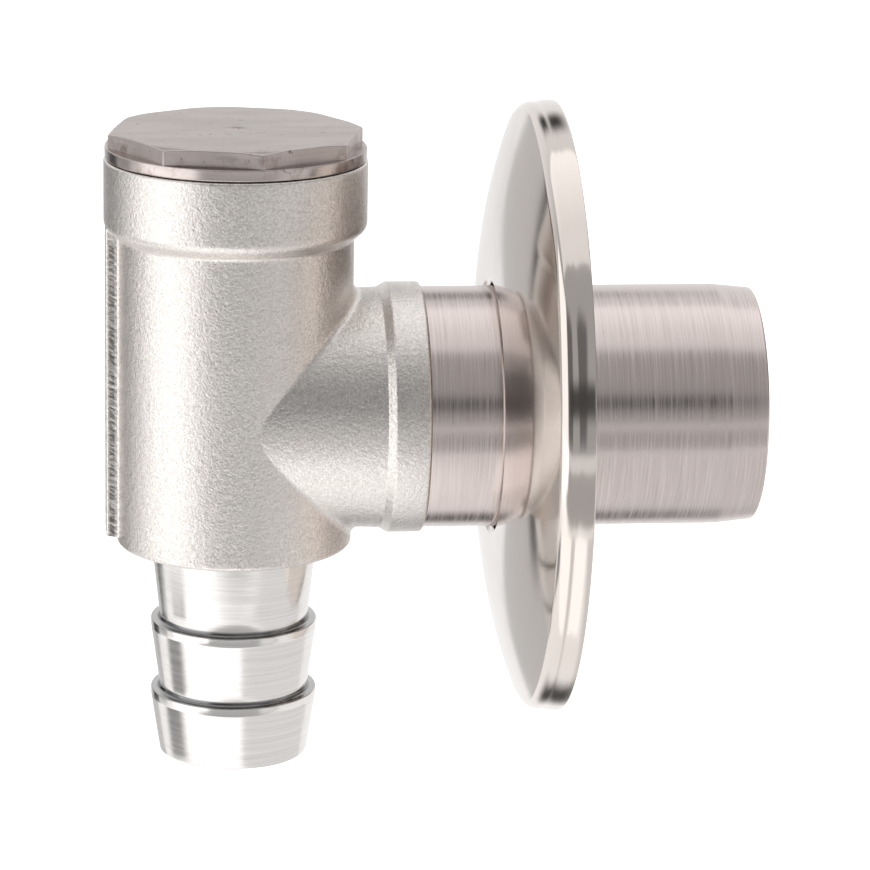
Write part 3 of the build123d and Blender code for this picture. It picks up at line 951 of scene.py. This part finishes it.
made = {
    "valve_body": (valve_body(), "valve", "cast_steel", cast_steel()),
    "screw_cap": (screw_cap(), "cap", "cap_steel", cap_steel()),
    "hose_tail": (hose_tail(), "valve", "turned_steel", turned_steel()),
    "outlet_pipe": (outlet_pipe(), "valve", "pipe_steel", pipe_steel()),
    "rosette": (rosette(), "rosette", "polished_steel", polished_steel()),
    "ball_coat": (ball(), "ball", "ball_rubber", ball_rubber()),
}
for node, (piece, body, slot, finish) in made.items():
    dress(piece, finish)
    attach(piece, body)
    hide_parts(node)

rubber = seal_rubber()
for node in ("cap_seal", "hose_tail_seal", "seat_ring_seal", "outlet_seal", "rosette_grip_ring"):
    dress(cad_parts[node], rubber)
dress(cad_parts["ball_core"], moulded_plastic("ball core plastic", (0.55, 0.53, 0.48)))
white = moulded_plastic("white plastic", (0.78, 0.78, 0.75))
for node in ("ball_cage", "seat_ring"):
    dress(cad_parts[node], white)


# The studio


def glow(name, strength):
    """A plain glow that fades out where the sheet's cover falls to nothing."""
    material = bpy.data.materials.new(name)
    material.use_nodes = True
    nodes, links = material.node_tree.nodes, material.node_tree.links
    nodes.clear()
    light = nodes.new("ShaderNodeEmission")
    light.inputs["Strength"].default_value = strength
    cover = nodes.new("ShaderNodeAttribute")
    cover.attribute_name = "cover"
    mixed = nodes.new("ShaderNodeMixShader")
    links.new(cover.outputs["Fac"], mixed.inputs[0])
    links.new(nodes.new("ShaderNodeBsdfTransparent").outputs[0], mixed.inputs[1])
    links.new(light.outputs[0], mixed.inputs[2])
    links.new(mixed.outputs[0], nodes.new("ShaderNodeOutputMaterial").inputs["Surface"])
    return material


def card(name, centre, width, height, level, soft=0.5, lean=None):
    """A studio card that only shows in reflections: a flat sheet that faces the object, or lies as it leans.

    Its cover is a smooth step from its border inwards, over the soft share of its half width and height.
    """
    centre = np.asarray(centre, float)
    facing = np.asarray(lean if lean is not None else centre - MIDDLE, float)
    facing = facing / np.linalg.norm(facing)
    level_way = np.cross([0, 0, 1.0], facing)
    level_way = level_way / np.linalg.norm(level_way) if np.linalg.norm(level_way) > 1e-3 else np.array([1.0, 0, 0])
    rise = np.cross(facing, level_way)
    count = 25
    across, up = np.meshgrid(np.linspace(-1, 1, count), np.linspace(-1, 1, count))
    points = centre + width / 2 * across[..., None] * level_way + height / 2 * up[..., None] * rise
    step = [np.clip((1 - np.abs(v)) / soft, 0, 1) for v in (across, up)]
    cover = step[0] ** 2 * (3 - 2 * step[0]) * step[1] ** 2 * (3 - 2 * step[1])
    mesh = bpy.data.meshes.new(name)
    mesh.from_pydata(points.reshape(-1, 3).tolist(), [], quads(count, count, False, False).tolist())
    mesh.attributes.new("cover", "FLOAT", "POINT").data.foreach_set("value", cover.ravel())
    mesh.materials.append(glow(name, level))
    sheet = bpy.data.objects.new(name, mesh)
    bpy.context.scene.collection.objects.link(sheet)
    sheet.visible_camera = False
    sheet.visible_diffuse = False
    sheet.visible_shadow = False
    sheet.visible_transmission = False
    return sheet


def softbox(name, centre, target, width, height, glow_level):
    """A rectangular lamp aimed at a target. Its power is its glow level times its area times pi."""
    lamp = bpy.data.lights.new(name, "AREA")
    lamp.shape = "RECTANGLE"
    lamp.size = width
    lamp.size_y = height
    lamp.energy = glow_level * np.pi * width * height
    stand = bpy.data.objects.new(name, lamp)
    away = np.asarray(centre, float) - np.asarray(target, float)
    away = away / np.linalg.norm(away)
    level = np.cross([0, 0, 1.0], away)
    if np.linalg.norm(level) < 1e-3:
        level = np.array([1.0, 0, 0])
    level /= np.linalg.norm(level)
    rise = np.cross(away, level)
    turn = Matrix(np.column_stack([level, rise, away]).tolist()).to_4x4()
    stand.matrix_world = Matrix.Translation(centre) @ turn
    bpy.context.scene.collection.objects.link(stand)
    return stand


def floor_finish():
    """Pale floor: white to the camera where no shadow falls, with the object's shadow kept."""
    material = bpy.data.materials.new("pale floor")
    material.use_nodes = True
    nodes, links = material.node_tree.nodes, material.node_tree.links
    nodes.clear()
    paint = nodes.new("ShaderNodeBsdfDiffuse")
    paint.inputs["Color"].default_value = (0.92, 0.92, 0.92, 1.0)
    path = nodes.new("ShaderNodeLightPath")
    lift = nodes.new("ShaderNodeEmission")
    lift.inputs["Color"].default_value = (1.0, 1.0, 1.0, 1.0)
    share = nodes.new("ShaderNodeMath")
    share.operation = "MULTIPLY_ADD"
    share.inputs[1].default_value = 0.75
    links.new(path.outputs["Is Camera Ray"], share.inputs[0])
    gloss = nodes.new("ShaderNodeMath")
    gloss.operation = "MULTIPLY"
    gloss.inputs[1].default_value = 0.35
    links.new(path.outputs["Is Glossy Ray"], gloss.inputs[0])
    links.new(gloss.outputs[0], share.inputs[2])
    links.new(share.outputs[0], lift.inputs["Strength"])
    both = nodes.new("ShaderNodeAddShader")
    links.new(paint.outputs[0], both.inputs[0])
    links.new(lift.outputs[0], both.inputs[1])
    out = nodes.new("ShaderNodeOutputMaterial")
    links.new(both.outputs[0], out.inputs["Surface"])
    return material


def world_light():
    """The room: white to the camera, a pale wall behind the object and a greyer room in front of it.

    The room's tone follows the direction alone: it grows from grey to white as y goes from front to back.
    """
    world = bpy.data.worlds.new("studio")
    bpy.context.scene.world = world
    world.use_nodes = True
    nodes, links = world.node_tree.nodes, world.node_tree.links
    nodes.clear()
    way = nodes.new("ShaderNodeTexCoord")
    split = nodes.new("ShaderNodeSeparateXYZ")
    links.new(way.outputs["Generated"], split.inputs[0])
    grade = nodes.new("ShaderNodeMapRange")
    grade.inputs["From Min"].default_value = -0.1
    grade.inputs["From Max"].default_value = 0.75
    grade.inputs["To Min"].default_value = 0.48
    grade.inputs["To Max"].default_value = 1.0
    links.new(split.outputs["Y"], grade.inputs["Value"])
    path = nodes.new("ShaderNodeLightPath")
    room = nodes.new("ShaderNodeBackground")
    links.new(grade.outputs[0], room.inputs["Strength"])
    white_room = nodes.new("ShaderNodeBackground")
    white_room.inputs["Strength"].default_value = 1.0
    both = nodes.new("ShaderNodeMixShader")
    links.new(path.outputs["Is Camera Ray"], both.inputs[0])
    links.new(room.outputs[0], both.inputs[1])
    links.new(white_room.outputs[0], both.inputs[2])
    for background in (room, white_room):
        background.inputs["Color"].default_value = (1.0, 1.0, 1.0, 1.0)
    out = nodes.new("ShaderNodeOutputWorld")
    links.new(both.outputs[0], out.inputs["Surface"])


MIDDLE = np.array([-0.02, 0.0, 0.0])


def toward(azimuth, elevation, distance):
    """A place seen from the object: azimuth from the camera's side, positive to its right, and elevation up."""
    a, e = np.radians(azimuth), np.radians(elevation)
    return MIDDLE + distance * np.array([np.sin(a) * np.cos(e), -np.cos(a) * np.cos(e), np.sin(e)])


world_light()
softbox("overhead_softbox", (-0.02, 0.07, 1.0), (-0.02, 0.0, 0.0), 1.5, 1.05, 0.55)
softbox("left_softbox", toward(-66, 12, 0.8), MIDDLE, 0.90, 1.0, 0.95)

card("flag_above_the_back", toward(182, 36, 0.9), 0.60, 0.42, 0.05, 0.85)
card("flag_below_the_back", toward(173, -62, 0.27), 0.26, 0.17, 0.08, 0.85)
card("white_sheet_on_the_floor", (-0.29, -0.255, -0.292), 0.62, 0.37, 1.5, 0.02, (0, 0, 1))
card("grey_floor_beyond_the_sheet", (0.0, -1.03, -0.294), 1.9, 1.10, 0.50, 0.08, (0, 0, 1))
card("pale_floor_at_the_right", (0.345, -0.06, -0.293), 0.64, 0.76, 0.86, 0.06, (0, 0, 1))
card("grey_floor_at_the_left", (-0.50, 0.09, -0.291), 0.28, 0.36, 0.35, 0.6, (0, 0, 1))
card("dark_front_at_the_left", toward(-24, 22, 0.62), 0.50, 0.64, 0.18, 0.35)
card("shade_beside_the_camera", toward(-2, 15.5, 0.5), 0.80, 0.16, 0.07, 0.7)
card("pale_wall_in_front_at_the_right", toward(42, -10, 0.5), 0.26, 0.30, 0.85, 0.5)
card("grey_wall_behind_at_the_left", toward(-153, -11, 0.5), 0.27, 0.42, 0.64, 0.07)
card("dark_strip_behind_at_the_left", toward(-137, -7, 0.46), 0.20, 0.34, 0.07, 0.35)
card("grey_wall_at_the_left", toward(-116, 0, 0.55), 0.22, 0.5, 0.45, 0.4)
card("dark_wall_at_the_right", toward(106, 10, 0.6), 0.75, 0.50, 0.16, 0.5)

floor = bpy.data.meshes.new("floor")
floor.from_pydata([(-4, -4, -0.3), (4, -4, -0.3), (4, 4, -0.3), (-4, 4, -0.3)], [], [(0, 1, 2, 3)])
floor.materials.append(floor_finish())
ground = bpy.data.objects.new("floor", floor)
bpy.context.scene.collection.objects.link(ground)

# The camera, found from the pipe's ends, the rosette's rim and the cap's corners in the photograph
camera = bpy.data.cameras.new("camera")
camera.sensor_width = 36.0
camera.lens = 176.36
camera.clip_start = 0.01
eye = bpy.data.objects.new("camera", camera)
yaw, pitch, roll = 0.1132, 0.2580, 0.0176
ahead = np.array([np.sin(yaw) * np.cos(pitch), np.cos(yaw) * np.cos(pitch), -np.sin(pitch)])
right = np.array([np.cos(yaw), -np.sin(yaw), 0.0])
above = np.cross(right, ahead)
right, above = np.cos(roll) * right + np.sin(roll) * above, np.cos(roll) * above - np.sin(roll) * right
turn = Matrix(np.column_stack([right, above, -ahead]).tolist()).to_4x4()
eye.matrix_world = Matrix.Translation((-0.07767, -0.54525, 0.14083)) @ turn
bpy.context.scene.collection.objects.link(eye)
bpy.context.scene.camera = eye

bpy.context.scene.view_settings.view_transform = "Standard"
